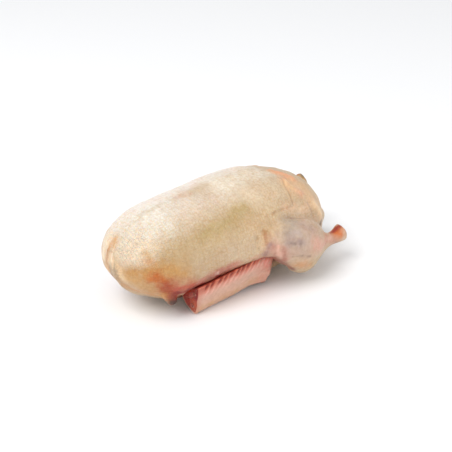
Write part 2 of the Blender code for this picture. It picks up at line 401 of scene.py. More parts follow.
# Places folded onto the right side, so both sides are finished alike. The left leg is swung back.
x, y, z = skin.T
share_of_leg = np.clip((x - HIP[0]) / (LEG_LENGTH + LEFT_HOCK_SHIFT[0]), 0, 1)
left_leg_line = limb(leg_rows, HIP, LEG_LENGTH, DRUMSTICK_RADIUS, 1, LEFT_HOCK_SHIFT)[2:, :3]
on_left_leg = near(skin, left_leg_line * 1000, DRUMSTICK_RADIUS * 1000 * 1.15, 8) * (x > 0.035)
folded = skin - (on_left_leg * share_of_leg)[:, None] * LEFT_HOCK_SHIFT
folded[:, 1] = np.abs(folded[:, 1])
angle_up = np.arctan2(z - AXIS_HEIGHT, np.abs(y)) * BODY_HALF_WIDTH
unrolled = np.column_stack((x, angle_up))

# The keel stands out along the breast, and the breast skin ends in a fold over the belly.
on_breast = between(x, 0.105, 0.075)
keel = math.pi / 2 * BODY_HALF_WIDTH
relief = 0.0012 * bell(angle_up, keel, 0.009) * on_breast
# The fold's path: x, and degrees up from the body's side.
belly_fold = np.array((
    (0.048, 29.5), (0.064, 30.6), (0.08, 31.5), (0.094, 30.3), (0.104, 30.0), (0.1085, 34),
    (0.1115, 44.5), (0.115, 56), (0.12, 68), (0.117, 80), (0.113, 92),
)) * (1, math.radians(1) * BODY_HALF_WIDTH)
fold_strength = 0.3 + 0.36 * bell(x, 0.11, 0.012) + 0.25 * lumps(skin, 0.018, 8)
wavy = unrolled + 0.0016 * np.column_stack((lumps(skin, 0.02, 9), lumps(skin, 0.02, 10)))
relief += fold_strength * fold(wavy, belly_fold, width=0.0026, depth=0.0019, lip=0.0012)

# Below this line the skin is tucked in behind the forearm: x, and degrees up.
tuck_line = np.array((
    (-0.095, -21), (-0.081, -17.8), (-0.06, -13), (-0.046, -10.6), (-0.015, -7.6), (0.021, -5.8),
    (0.038, -4.6),
))
tuck_edge = np.radians(np.interp(x, *tuck_line.T)) * BODY_HALF_WIDTH
tucked = below(angle_up, tuck_edge - 0.001, 0.0012) * between(x, -0.097, -0.083) * between(x, 0.05, 0.038)
relief -= (0.0034 + 0.003 * (x < -0.07)) * tucked * between(np.abs(y), 0.036, 0.042)

# The fold of neck skin, its lip, and the rim where the breast skin ends, on one side only.
neck_fold = ((0.004, 0.056), (0.012, 0.068), (0.017, 0.08), (0.019, 0.092), (0.018, 0.104), (0.015, 0.118))
neck_relief = fold(skin[:, 1:], neck_fold, width=0.0032, depth=0.0034, lip=0.0016)
relief += neck_relief * (x < -0.12) * between(z, 0.066, 0.078)
neck_lip = ((-163, 6, 112), (-166, 4, 100), (-168, 3, 86), (-169, 1, 72), (-166, -3, 62))
relief += 0.0013 * near(skin, neck_lip, 3.6)
fold_rim = ((122, -4, 148), (127, -13, 146), (134, -21, 141), (141, -28, 135))
relief += 0.0024 * near(skin, fold_rim, 5.6) * between(y, 0.006, -0.002)
loose = 1 - near(folded, (170, 90, 50), 30)
for height, length, seed in ((0.0009, 0.06, 3), (0.0004, 0.02, 5), (0.00015, 0.008, 7)):
    relief += loose * height * lumps(skin, length, seed)

# Two lines that the relief and the colours share.
belly_ridge = ((121, 33, 141), (122, 43, 136), (131, 48, 129), (138, 53, 123))
calf_line = ((58, 111, 67), (72, 117, 63), (86, 120, 60), (96, 120, 56))
# Rises and hollows on both sides: path, radius and height in millimetres.
forms = (
    # Raised ridges on the belly behind its fold, the loose lobe at the tail, and the thigh's front.
    (belly_ridge, 4.4, 1.6),
    (((136, 78, 96), (148, 74, 86), (158, 70, 76)), 3.6, 0.8),
    (((158, 62, 96), (168, 62, 84), (173, 60, 74)), 8, 2.2),
    (((46, 108, 80), (47, 108, 66)), 3.6, 1.2),
    # The thigh draws in over the elbow, the breast fills out in front, and the underside draws in.
    (((42, 81, 52), (48, 84, 52), (56, 82, 42)), 8.5, -7.5),
    (((-150, 30, 116), (-134, 28, 126)), 24, 0.6),
    (((-106, 30, 137), (-80, 30, 142), (-50, 30, 147)), 28, 3.6),
    (((106, 10, 151), (124, 8, 147)), 16, -1.8),
    (((-124, 28, 27), (-112, 40, 26)), 14, -4.5),
    (((106, 112, 36), (124, 113, 42), (146, 105, 46)), 11, -4.6),
    (((54, 71, 39), (62, 73, 34), (70, 79, 34)), 12, -12),
    (((-98, 52, 32), (-88, 56, 30)), 9, -7),
    (((66, 63, 30), (78, 65, 27)), 13, -10),
    (((-158, 20, 50), (-140, 34, 38)), 18, -2.6),
    # Single creases on the flank, thigh, tail and shoulder.
    (((32, 86, 107), (28, 90, 98), (24, 94, 86)), 2.4, -0.8),
    (((42, 90, 106), (38, 96, 98), (34, 100, 90)), 2.2, -0.6),
    (((20, 87, 98), (16, 90, 88), (13, 91, 78)), 2, -0.7),
    (((58, 87, 108), (51, 102, 99), (37, 102, 92), (26, 96, 80)), 2.6, -1.1),
    (((80, 85, 109), (98, 84, 106), (112, 86, 101), (122, 88, 96)), 2.4, -1.7),
    (calf_line, 2, -1.3),
    (((100, 116, 80), (112, 115, 66), (112, 116, 54)), 2.6, -0.9),
    (((62, 114, 78), (74, 118, 72), (86, 119, 74)), 2.6, -0.8),
    (((124, 110, 76), (136, 106, 64), (150, 100, 54)), 2.2, -0.8),
    (((62, 108, 88), (72, 110, 84), (78, 112, 86)), 2.4, -0.9),
    (((80, 108, 96), (96, 107, 94)), 2.4, -0.6),
    (((104, 112, 84), (112, 112, 72), (116, 112, 60)), 2.2, -0.7),
    (((118, 110, 78), (126, 106, 68), (130, 104, 58)), 2, -0.6),
    (((143, 66, 106), (145, 70, 98), (146, 73, 90)), 3.4, -1.8),
    (((53, 110, 78), (54, 110, 62)), 2.2, -1.2),
    (((40, 104, 82), (40, 104, 66)), 2.2, -1),
    (((-150, 52, 90), (-136, 62, 74), (-124, 64, 54)), 3, -1),
    (((-138, 62, 86), (-126, 68, 70), (-114, 67, 50)), 2.6, -0.9),
    (((-127, 67, 82), (-116, 72, 64), (-106, 68, 46)), 2.4, -0.8),
)
for path, radius, height in forms:
    relief += height / 1000 * near(folded, path, radius)


def in_place(grid, side=1):
    """The grid on its side of the bird, carried to its place and held above the floor."""
    grid = grid * (1, side, 1) + PLACE
    grid[..., 2] = np.maximum(grid[..., 2], 0)
    return grid


skin += outward * relief[:, None]
skin_mesh.vertices.foreach_set("co", in_place(skin).astype(np.float32).ravel())
skin_mesh.update()
skin_mesh.shade_smooth()


def tone(red, green, blue):
    """A colour as the eye reads it, 0 to 255, turned into the share of light it sends back."""
    seen = np.array((red, green, blue)) / 255
    return np.where(seen <= 0.04045, seen / 12.92, ((seen + 0.055) / 1.055) ** 2.4)


def laid_over(tint, amount, colour):
    """The tint moved towards a colour by that amount at each place."""
    return tint + (tone(*colour) - tint) * amount[..., None]


def patched(tint, places, patches, strengths=1.0, power=2.2):
    """The tint with patches laid over it in turn: path, radius in millimetres, strength, colour."""
    for path, radius, strength, colour in patches:
        amount = np.minimum(strength * strengths * near(places, path, radius, power), 0.97)
        tint = laid_over(tint, amount, colour)
    return tint


# Colours on both sides, in skin that is pale cream where no patch lies.
patches = (
    # Breast, upper flank and belly, white to pink.
    (((-150, 10, 122), (-128, 22, 137), (-96, 26, 143), (-74, 22, 146)), 34, 1.25, (246, 242, 232)),
    (((-166, 10, 104), (-162, 26, 106), (-150, 40, 113), (-138, 50, 117)), 18, 1.1, (252, 240, 222)),
    (((-60, 24, 148), (-40, 24, 150), (-4, 34, 149)), 24, 0.9, (236, 222, 206)),
    (((-80, 44, 139), (-40, 50, 141), (0, 52, 142), (40, 50, 143)), 15, 0.8, (226, 209, 184)),
    (((16, 82, 116), (34, 84, 110), (50, 78, 116)), 28, 0.9, (228, 203, 166)),
    (((40, 45, 147), (85, 50, 137)), 20, 0.8, (234, 212, 182)),
    (((20, 12, 158), (60, 8, 159), (90, 12, 154)), 24, 1.1, (244, 234, 216)),
    (((66, 56, 138), (100, 40, 140)), 16, 0.5, (228, 206, 174)),
    (((98, 34, 147), (104, 46, 139)), 8, 0.6, (216, 190, 156)),
    # Yellow and olive fat on the flank, with paler skin below it.
    (((15, 65, 131), (-40, 70, 121), (-88, 67, 117), (-118, 66, 106)), 21, 0.95, (203, 177, 134)),
    (((16, 60, 137), (-10, 66, 128), (-40, 67, 123), (-64, 64, 124)), 9.5, 0.8, (194, 170, 118)),
    (((-118, 67, 100), (-106, 73, 92), (-96, 74, 100)), 12, 0.75, (194, 162, 116)),
    (((-34, 87, 88), (4, 89, 82), (10, 88, 94)), 13, 0.85, (220, 198, 170)),
    (((-10, 89, 80), (10, 91, 78), (22, 93, 80)), 9, 0.8, (224, 202, 170)),
    (((-96, 79, 80), (-60, 84, 76)), 11, 0.5, (208, 180, 148)),
    # Tan and orange skin over the shoulder.
    (((-164, 26, 80), (-160, 42, 84), (-148, 54, 85), (-136, 63, 88), (-120, 70, 86), (-108, 77, 80)),
     14.2, 1.15, (207, 158, 92)),
    (((-167, 10, 92), (-168, 14, 80), (-165, 18, 70)), 9, 1, (255, 224, 180)),
    (((-157, 34, 60), (-149, 50, 64), (-140, 54, 60)), 6, 0.75, (206, 170, 128)),
    (((-118, 73, 74), (-104, 77, 70), (-92, 79, 66)), 7.5, 0.8, (198, 142, 104)),
    (((-158, 36, 70), (-149, 50, 65), (-137, 60, 63)), 10, 0.8, (210, 162, 100)),
    (((-141, 61, 79), (-135, 64, 75), (-129, 66.5, 69), (-121, 68, 58)), 10, 1.15, (198, 110, 34)),
    (((-148, 43, 114), (-144, 50, 108)), 4.5, 0.8, (216, 176, 116)),
    (((-150, 46, 104), (-141, 56, 100)), 4.8, 0.6, (220, 168, 120)),
    # Red and brown skin round the loose cone and before the wing.
    (((-110, 52, 34), (-94, 46, 26), (-78, 38, 18)), 12, 1.1, (140, 84, 60)),
    (((-126, 66, 60), (-119, 66, 48), (-114, 64, 38)), 11.8, 1.6, (178, 74, 20)),
    (((-112, 71, 57), (-102, 75, 56), (-90, 78, 59)), 8.5, 1.3, (194, 86, 56)),
    (((-108, 68, 47), (-100, 71, 45), (-90, 73, 47)), 6.2, 1.3, (150, 34, 16)),
    (((-120, 67, 46), (-113, 68, 41)), 8, 1.2, (146, 48, 20)),
    (((-121, 66, 34), (-111, 66, 31)), 6.2, 1.4, (70, 38, 28)),
    # The underside in front, a darker brown line of painted shade along its lowest edge, and a streak on the
    # keel.
    (((-160, 12, 54), (-150, 30, 47), (-140, 46, 49), (-130, 56, 47)), 12, 0.95, (208, 152, 90)),
    # A darker brown line along the lowest edge of the underside: painted shade.
    (((-150, 24, 31), (-136, 38, 30), (-126, 50, 34)), 6, 0.8, (160, 112, 70)),
    (((-56, 2, 150), (-34, 4, 154)), 3.6, 0.6, (224, 186, 162)),
    # The bloody edge over the forearm, whose dark red and brown lines along the gap are partly bloody skin
    # and partly painted shade.
    (((-82, 81, 59), (-62, 85, 63.5), (-42.6, 86, 67), (-20, 88, 69)), 6, 1.1, (196, 128, 112)),
    # Dark red and brown lines along the gap: partly bloody skin, partly painted shade in the gap.
    (((-96, 74, 49), (-82, 78, 52.5), (-66, 82, 57.5), (-50, 85, 60.5)), 4.4, 1.4, (132, 24, 16)),
    (((-44, 86, 61.5), (-15, 88, 64.5), (20, 89, 67)), 2.4, 1.1, (134, 62, 42)),
    (((-58, 85, 63.5), (-50, 85.5, 65.5)), 1.9, 0.9, (240, 212, 202)),
    (((-28, 88, 71), (6, 90, 71), (24, 92, 70)), 3.5, 0.6, (214, 158, 134)),
    # The fold over the belly, and the darker brown lines that run from it, which are painted shade of the
    # fold.
    (belly_ridge, 8.8, 1, (238, 172, 146)),
    # Darker brown lines and a spot along the fold: painted shade of the fold.
    (((119, 29, 144), (113, 51, 132), (110, 62, 126), (107, 70, 119)), 3.6, 0.8, (202, 156, 114)),
    (((107, 70, 118), (104, 71, 117)), 2.6, 1, (150, 118, 92)),
    (((101, 73, 115), (86, 74, 118), (71, 75, 121), (60, 77, 119)), 2.8, 0.8, (190, 150, 112)),
    # Rump and tail.
    (((124, 44, 134), (146, 36, 127), (156, 46, 114), (150, 58, 110)), 18, 1.1, (232, 194, 150)),
    (((150, 30, 129), (164, 30, 117)), 10, 0.8, (222, 178, 124)),
    (((86, 73, 120), (104, 72, 116), (124, 72, 107), (140, 70, 102)), 8.5, 1, (238, 206, 172)),
    (((184, 40, 85), (200, 0, 50)), 30, 0.8, (228, 190, 144)),
    # A greyer line in the tail's crease: painted shade.
    (((143, 67, 105), (146, 72, 90)), 4, 0.8, (200, 172, 148)),
    (((158, 62, 98), (168, 62, 84), (172, 61, 76)), 8.5, 1.2, (250, 216, 172)),
    (((174, 62, 68), (168, 64, 62)), 5, 1.1, (126, 88, 60)),
    (((136, 78, 96), (148, 74, 86), (156, 71, 78)), 3.6, 0.95, (226, 188, 152)),
    # Yellow streaks before the thigh.
    (((44, 85, 110), (40, 92, 104), (32, 97, 98)), 11, 0.85, (206, 176, 134)),
    (((34, 88, 105), (31, 93, 98), (29, 98, 91)), 3.4, 1.4, (178, 130, 80)),
    (((40, 93, 104), (37, 99, 96)), 2.4, 1, (196, 156, 114)),
    (((22, 87, 100), (19, 91, 88), (20, 92, 80)), 2, 0.8, (182, 150, 112)),
    # The thigh: grey and mauve muscle under thin skin.
    (((60, 108, 80), (100, 112, 70), (110, 104, 92)), 26, 0.95, (204, 176, 158)),
    (((36, 102, 83), (46, 106, 74), (54, 108, 66)), 11, 1, (212, 164, 146)),
    (((76, 90, 107), (94, 96, 103), (74, 100, 102), (60, 104, 98)), 11, 0.95, (182, 165, 148)),
    (((94, 103, 99), (108, 106, 93)), 9, 0.8, (190, 162, 146)),
    (((64, 111, 89), (72, 113, 86), (82, 114, 83)), 8.8, 0.95, (168, 144, 136)),
    (((72, 108, 97), (84, 108, 95)), 5.2, 0.8, (200, 180, 170)),
    (((98, 115, 82), (102, 118, 70)), 8, 0.7, (206, 184, 166)),
    (((63, 112.5, 87), (69, 114, 85)), 2.8, 1.1, (134, 112, 106)),
    (((77, 116, 83), (78, 116, 81)), 2.4, 0.9, (150, 128, 120)),
    # The folds in front of the thigh, greyed as painted shade, and its pink front, painted brown along its
    # bottom and under it as painted shade.
    # Grey lines in the crease over the thigh and in the fold before it: painted shade.
    (((80, 85, 109), (98, 84, 106), (112, 86, 101)), 2.4, 0.8, (168, 140, 122)),
    (((35, 102, 89), (30, 100, 81), (28, 98, 73)), 5.6, 1.05, (172, 138, 128)),
    (((37, 104, 86), (38, 104, 74)), 2.4, 0.6, (196, 140, 120)),
    (((43, 107, 84), (44, 107, 70)), 3.4, 0.95, (232, 186, 166)),
    (((51, 110, 80), (54, 109, 67), (60, 106, 56)), 5.2, 0.9, (190, 130, 108)),
    # Brown along the thigh's bottom and red-brown under it: painted shade.
    (((44, 94, 62), (54, 102, 56), (66, 102, 42), (76, 99, 35)), 7.2, 1.2, (156, 98, 80)),
    (((44, 90, 60), (56, 76, 42), (68, 68, 32), (80, 70, 28)), 13, 1.2, (146, 84, 64)),
    # The calf, with a darker line in its crease that is painted shade.
    (((62, 114, 74), (78, 118, 70), (92, 119, 62)), 7, 0.7, (196, 168, 150)),
    (((80, 113, 44), (94, 115, 42), (102, 112, 35)), 9.5, 1, (214, 162, 114)),
    (((110, 117, 70), (120, 115, 62), (140, 105, 54)), 12, 1.1, (224, 172, 150)),
    # A darker line along the calf's crease: painted shade.
    (calf_line, 1.8, 1, (160, 128, 112)),
    # Shank and hock. A pale patch along the shank's top is a painted highlight, and a greyer line along its
    # underside is painted shade.
    (((148, 101, 58), (172, 92, 50)), 13, 1.1, (208, 152, 128)),
    # A pale patch along the shank's top: painted highlight.
    (((156, 98, 58), (164, 94, 56)), 4.8, 0.7, (230, 190, 170)),
    # A greyer line along the shank's underside: painted shade.
    (((162, 92, 46), (178, 92, 42)), 3.5, 0.6, (170, 140, 120)),
    (((178, 90, 60), (188, 94, 55)), 8.5, 1.3, (214, 116, 38)),
    (((174, 86, 62), (181, 86, 63), (187, 88, 64)), 6, 1.4, (152, 42, 12)),
    (((192, 96, 55), (192, 95, 44)), 4.2, 1, (216, 186, 160)),
)
# The patches' edges wander by these lengths, over waves of these sizes.
painted = folded.copy()
for wander, length, seed in ((0.0024, 0.03, 11), (0.0014, 0.011, 21), (0.0008, 0.005, 24)):
    painted += wander * np.stack([lumps(skin, length, seed + number) for number in range(3)], 1)
uneven = np.clip(0.88 + 0.24 * lumps(skin, 0.012, 27) + 0.18 * lumps(skin, 0.0055, 28), 0.35, 1.15)
skin_tint = patched(np.tile(tone(208, 184, 150), (len(skin), 1)), painted, patches, uneven)

# In the gap behind the forearm the skin is painted dark red: partly bloody skin, partly painted shade in the
# gap.
gap_blood_and_shade = bell(angle_up, tuck_edge - 0.006, 0.006) * between(x, -0.1, -0.09) * between(x, 0.05, 0.03)
skin_tint = laid_over(skin_tint, 0.85 * gap_blood_and_shade, (168, 30, 22))

# The breast beyond the keel is paler, and the fold of neck skin lies on one side only.
beyond_keel = between(y, 0.003, 0.033) * between(angle_up / keel, 0.4, 0.6)
skin_tint = laid_over(skin_tint, 0.95 * beyond_keel * on_breast, (255, 248, 242))
one_sided = (
    # The neck fold and the belly's rim. In the fold, the brown line in its crease is painted shade, the dark
    # spot at its lower end a painted shadow, and the pale lip a painted highlight.
    (((-160, 24, 113), (-166, 24, 100), (-167, 26, 86)), 11, 1.1, (255, 242, 220)),
    (fold_rim, 8, 1, (238, 172, 130)),
    (((-160, 6, 119), (-163, 4, 114), (-166, 10, 107)), 8.5, 0.9, (228, 180, 126)),
    # A browner line in the neck fold's crease: painted shade.
    (((-167, 14, 102), (-169, 15, 94), (-168, 17, 85)), 4.2, 1.2, (204, 142, 86)),
    (((-168, 15, 80), (-168, 11, 73)), 5, 0.9, (200, 148, 122)),
    # A dark spot at the neck fold's lower end: painted shadow.
    (((-168, 4, 67), (-166, 1, 61)), 3, 0.9, (100, 72, 58)),
    # The pale lip of the neck fold: painted highlight.
    (neck_lip, 3, 0.8, (242, 222, 194)),
    # The left hock, seen beyond the rump.
    (((218, 38, 93), (230, 36, 91)), 9, 1, (210, 166, 108)),
    (((222, 36, 100), (234, 36, 95), (240, 36, 84)), 6, 1.6, (120, 110, 84)),
)
skin_tint = patched(skin_tint, skin, one_sided, uneven)

# Pores run in rows over the unrolled skin, measured along the breast line so they don't stretch.
ridge = body[:, np.argmax(body[80, :, 2])]
run = np.concatenate(((0,), np.cumsum(np.hypot(np.diff(ridge[:, 0]), np.diff(ridge[:, 2])))))
pore_place = np.column_stack((np.interp(x, ridge[:, 0], run), angle_up, 0 * angle_up))
pore_strength = np.ones(len(skin))
for change, path, radius, power in (
    (-0.75, ((60, 105, 80), (110, 110, 60)), 36, 4),
    (-1, ((140, 95, 50), (200, 90, 50)), 22, 4),
    (-0.6, ((150, 20, 120), (200, 0, 60)), 50, 4),
    (1.1, ((-162, 18, 112), (-146, 32, 118), (-124, 48, 122)), 30, 2),
):
    pore_strength *= 1 + change * near(folded, path, radius, power)


def keep(mesh, name, kind, values):
    """Stores values on the mesh's corners under a name, for a material to read."""
    layer = mesh.attributes.new(name, kind, "POINT")
    field = {"FLOAT_COLOR": "color", "FLOAT_VECTOR": "vector", "FLOAT": "value"}[kind]
    layer.data.foreach_set(field, np.ascontiguousarray(values, np.float32).ravel())


def keep_tint(mesh, tint):
    """Stores rows of red, green and blue as the mesh's tint."""
    keep(mesh, "tint", "FLOAT_COLOR", np.column_stack((tint, np.ones(len(tint)))))


keep_tint(skin_mesh, skin_tint)
keep(skin_mesh, "pore_place", "FLOAT_VECTOR", pore_place)
keep(skin_mesh, "pore_strength", "FLOAT", pore_strength)


def connect(tree, made, values):
    """Sets a node's sockets, by name or number, to values or to other nodes' sockets."""
    for socket, value in values.items():
        if isinstance(value, bpy.types.NodeSocket):
            tree.links.new(value, made.inputs[socket])
        else:
            made.inputs[socket].default_value = value


def node(tree, kind, values, **settings):
    """A node of that kind with its settings and its sockets' values."""
    made = tree.nodes.new(kind)
    for name, value in settings.items():
        setattr(made, name, value)
    connect(tree, made, values)
    return made


def maths(tree, operation, one, two=0.0, three=0.0):
    """The output of a Math node."""
    return node(tree, "ShaderNodeMath", {0: one, 1: two, 2: three}, operation=operation).outputs[0]


def ramp(tree, value, start, end, low_value=0.0, high_value=1.0):
    """A value carried from one span to another, smoothly, and held at its ends."""
    values = {"Value": value, "From Min": start, "From Max": end, "To Min": low_value, "To Max": high_value}
    return node(tree, "ShaderNodeMapRange", values, interpolation_type="SMOOTHSTEP").outputs["Result"]


def noise(tree, place, scale, detail, roughness=0.5):
    """The value of a Noise Texture node."""
    values = {"Vector": place, "Scale": scale, "Detail": detail, "Roughness": roughness}
    return node(tree, "ShaderNodeTexNoise", values).outputs["Fac"]


def mixed(tree, amount, one, two, blend="MULTIPLY"):
    """The colour output of a Mix node."""
    values = {0: amount, 6: one, 7: (*two, 1)}
    return node(tree, "ShaderNodeMix", values, data_type="RGBA", blend_type=blend).outputs[2]


def bumped(tree, height, strength, distance):
    """The normal of a Bump node."""
    values = {"Height": height, "Strength": strength, "Distance": distance}
    return node(tree, "ShaderNodeBump", values).outputs["Normal"]


def stored(tree, name, kind="Color"):
    """A value stored on the mesh under that name."""
    return node(tree, "ShaderNodeAttribute", {}, attribute_name=name).outputs[kind]


# Plucked skin, for the body and the wings: raised pores in rows, fine creases and mottling.
plucked = bpy.data.node_groups.new("plucked_skin", "ShaderNodeTree")
for way, kind, labels in (
    ("INPUT", "NodeSocketVector", ("Rows", "Place")),
    ("INPUT", "NodeSocketFloat", ("Spacing", "Pores")),
    ("OUTPUT", "NodeSocketFloat", ("Height", "Pore", "Mottle", "Blush", "Valley", "Speckle")),
):
    for label in labels:
        plucked.interface.new_socket(name=label, in_out=way, socket_type=kind)
plucked_in = plucked.nodes.new("NodeGroupInput")
plucked_out = plucked.nodes.new("NodeGroupOutput")
skin_place = plucked_in.outputs["Place"]
cells = node(plucked, "ShaderNodeTexVoronoi", {
    "Vector": plucked_in.outputs["Rows"], "Randomness": 0.62,
    "Scale": maths(plucked, "DIVIDE", 1.0, plucked_in.outputs["Spacing"]),
}, voronoi_dimensions="2D")
from_pore = cells.outputs["Distance"]
own_share = node(plucked, "ShaderNodeSeparateColor", {"Color": cells.outputs["Color"]}).outputs["Red"]
pit = ramp(plucked, from_pore, 0.3, 0.06)
mound = ramp(plucked, from_pore, 0.5, 0.05)
dented = maths(plucked, "SUBTRACT", mound, maths(plucked, "MULTIPLY", pit, 0.9))
net_values = {"Vector": skin_place, "Scale": 700.0}
net = node(plucked, "ShaderNodeTexVoronoi", net_values, feature="DISTANCE_TO_EDGE")
blush = noise(plucked, skin_place, scale=18.0, detail=3.0)
patchy = ramp(plucked, blush, 0.3, 0.6, 0.55, 1.0)
pore_amount = maths(plucked, "MULTIPLY", plucked_in.outputs["Pores"], patchy)
grain = maths(plucked, "MULTIPLY", noise(plucked, skin_place, scale=420.0, detail=4.0), 0.45)
creased = maths(plucked, "MULTIPLY_ADD", ramp(plucked, net.outputs["Distance"], 0.0, 0.12), 0.1, grain)
raised = maths(plucked, "MULTIPLY", dented, pore_amount)
pit_share = maths(plucked, "MULTIPLY", pit, ramp(plucked, own_share, 0.0, 0.9, 0.25, 1.0))
speckle = noise(plucked, skin_place, scale=190.0, detail=4.0, roughness=0.65)
connect(plucked, plucked_out, {
    "Height": maths(plucked, "MULTIPLY_ADD", raised, 0.75, creased),
    "Pore": maths(plucked, "MULTIPLY", pit_share, pore_amount),
    "Mottle": noise(plucked, skin_place, scale=55.0, detail=5.0, roughness=0.6),
    "Blush": blush,
    "Valley": maths(plucked, "MULTIPLY", ramp(plucked, from_pore, 0.26, 0.58), pore_amount),
    "Speckle": ramp(plucked, speckle, 0.4, 0.64),
})


def new_material(name):
    """A material with its node tree, its shader, and the place on the object."""
    material = bpy.data.materials.new(name)
    material.use_nodes = True
    tree = material.node_tree
    place = node(tree, "ShaderNodeTexCoord", {}).outputs["Object"]
    return material, tree, tree.nodes["Principled BSDF"], place


def skin_material(name, spacing, pore_colour, valley_colour, roughness, bump):
    """Raw plucked skin: its tint comes from the mesh, its pores and creases from the group."""
    material, tree, shader, place = new_material(name)
    marks = node(tree, "ShaderNodeGroup", {}, node_tree=plucked)
    connect(tree, marks, {
        "Rows": stored(tree, "pore_place", "Vector"), "Place": place, "Spacing": spacing,
        "Pores": stored(tree, "pore_strength", "Fac"),
    })
    mark = marks.outputs
    layers = (
        (ramp(tree, mark["Mottle"], 0.35, 0.7, 0.0, 0.45), (0.93, 0.86, 0.8)),
        (ramp(tree, mark["Blush"], 0.45, 0.75, 0.0, 0.25), (1.0, 0.88, 0.84)),
        (maths(tree, "MULTIPLY", mark["Speckle"], 0.55), (0.84, 0.78, 0.74)),
        # The crests of the pore mounds are lighter: partly paler skin on the bumps, partly a painted
        # highlight.
        (ramp(tree, mark["Height"], 0.55, 0.95), (1.14, 1.13, 1.11)),
        (maths(tree, "MULTIPLY", mark["Valley"], 0.8), valley_colour),
        (maths(tree, "MULTIPLY", mark["Pore"], 0.6), pore_colour),
    )
    colour = stored(tree, "tint")
    for amount, layer in layers:
        colour = mixed(tree, amount, colour, layer)
    connect(tree, shader, {
        "Base Color": colour,
        "Roughness": ramp(tree, mark["Mottle"], 0.3, 0.7, roughness - 0.07, roughness + 0.08),
        "Normal": bumped(tree, mark["Height"], 1.0, bump),
        "Subsurface Weight": 0.15, "Subsurface Radius": (1.0, 0.45, 0.25), "Subsurface Scale": 0.006,
        "Coat Weight": 0.12, "Coat Roughness": 0.3,
    })
    return material


goose_skin = added("goose_skin", skin_mesh)
skin_mesh.materials.clear()
skin_mesh.materials.append(skin_material(
    "plucked_body_skin", PORE_SPACING, pore_colour=(0.66, 0.52, 0.38), valley_colour=(0.84, 0.74, 0.6),
    roughness=0.4, bump=0.0013,
))
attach(goose_skin, "root")
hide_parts("goose")

# Forearms.
# The folded forearm of each wing, a flat blade of pink skin over two bones. It is sawn off
# square at the wrist, and a row of empty quill pits runs along its upper edge.
# Stations in millimetres: x, out, height, half width, half height, lean.
FOREARM_STATIONS = np.array((
    (-80, 61, 26.5, 21.3, 24.7, 0),
    (-80, 61, 26.5, 22, 25.5, 0),
    (-60, 61, 27.8, 22.2, 26.8, 2.8),
    (-30, 62.3, 31.4, 22.4, 29.4, 4.5),
    (0, 62.5, 33.6, 22.4, 30.6, 5.8),
    (22, 62.1, 36.6, 22.4, 29.4, 5),
    (40, 61.2, 37.2, 22.2, 29.2, 1),
    (54, 61, 35, 21.4, 27, -2),
    (63, 59.6, 35.5, 18.6, 20.6, -3),
    (69, 57.6, 38, 13.6, 13, -1),
    (72.5, 56, 39, 6.8, 6.6, 0),
)) / 1000
BLADE_SECTION = np.array((
    (1, 1), (1, 0.94), (0.88, 0.45), (0.73, -0.05), (0.58, -0.55), (0.45, -0.86), (0.28, -1.01),
    (0, -0.96), (-0.6, -0.7), (-0.98, -0.35), (-0.98, -0.02), (-0.55, 0.28), (0.1, 0.66), (0.75, 0.98),
))
BLADE_HALF_SIZES = (0.022, 0.028)
SAWN_OUT, SAWN_MIDDLE = FOREARM_STATIONS[0, 1:3]
SAWN_HALF_SIZES = FOREARM_STATIONS[0, 3:5]
SAWN_SLOPE = 0.09
QUILL_PITCH = 0.0104
FIRST_QUILL = -0.0685
QUILLS_END = 0.064
QUILL_SLANT = 40.0
FOREARM_PORES = 0.35
SIDES = ((-1, "right"), (1, "left"))


def rounded(corner_points, count):
    """A closed outline from its corner points by a uniform cubic B-spline, stretched back to fill -1 to 1."""
    line = carried(np.vstack((corner_points[-1:], corner_points, corner_points[:2])), count + 1)[:-1]
    low_side, high_side = line.min(axis=0), line.max(axis=0)
    return (line - (low_side + high_side) / 2) / ((high_side - low_side) / 2)


def blade(section, stations, along):
    """The section carried along the stations: centre + section * half sizes, its top leaning outwards."""
    x, out, z, wide, tall, lean = carried(closed_rows(stations, slice(3, 6)), along).T[:, :, None]
    a, b = section.T
    return np.stack((x + 0 * a, out + wide * a + lean * b, z + tall * b), -1)


def sawn_lean(height):
    """How far back the sawn end lies at a height: none at its middle, more towards its bottom edge."""
    return SAWN_SLOPE * (SAWN_MIDDLE - height)


# The way down the outer face at each place, from the upper edge and measured round the section.
section = rounded(BLADE_SECTION, 150)
step = np.linalg.norm((np.roll(section, -1, axis=0) - section) * BLADE_HALF_SIZES, axis=1)
girth_place = np.concatenate(((0,), np.cumsum(step)[:-1]))
upper_corner = int(np.argmax(section[:, 1] + 0.3 * section[:, 0]))
girth = step.sum()
down_face = (girth_place - girth_place[upper_corner] + girth / 2) % girth - girth / 2
blade_grid = blade(section, FOREARM_STATIONS, 260)
blade_grid[..., 0] += sawn_lean(blade_grid[..., 2]) * between(blade_grid[..., 0], -0.03, -0.08)
blade_x = blade_grid[..., 0]
down = np.broadcast_to(down_face, blade_x.shape)

# Each quill pit has its own depth, width, place and slant, from sines of its number.
quill_phase = (blade_x - FIRST_QUILL) / QUILL_PITCH + QUILL_SLANT * down
quill = np.round(quill_phase)
from_quill = (quill_phase - quill - 0.17 * np.sin(quill * 12.9898) - 0.13 * np.sin(quill * 4.1)) * QUILL_PITCH
in_row = (blade_x > FIRST_QUILL - 0.004) * (blade_x < QUILLS_END)
quill_depth = 0.76 + 0.24 * np.sin(quill * 7.3 + 1)
quill_width = 0.0026 + 0.0007 * np.sin(quill * 3.7)
quill_down = 0.0022 + 0.001 * np.sin(quill * 5.9 + 2)
pit_mask = bell(from_quill, 0, quill_width) * bell(down, quill_down, 0.0042) * in_row * quill_depth
welt_mask = np.cos(2 * np.pi * from_quill / QUILL_PITCH) * bell(down, 0.006, 0.006) * in_row


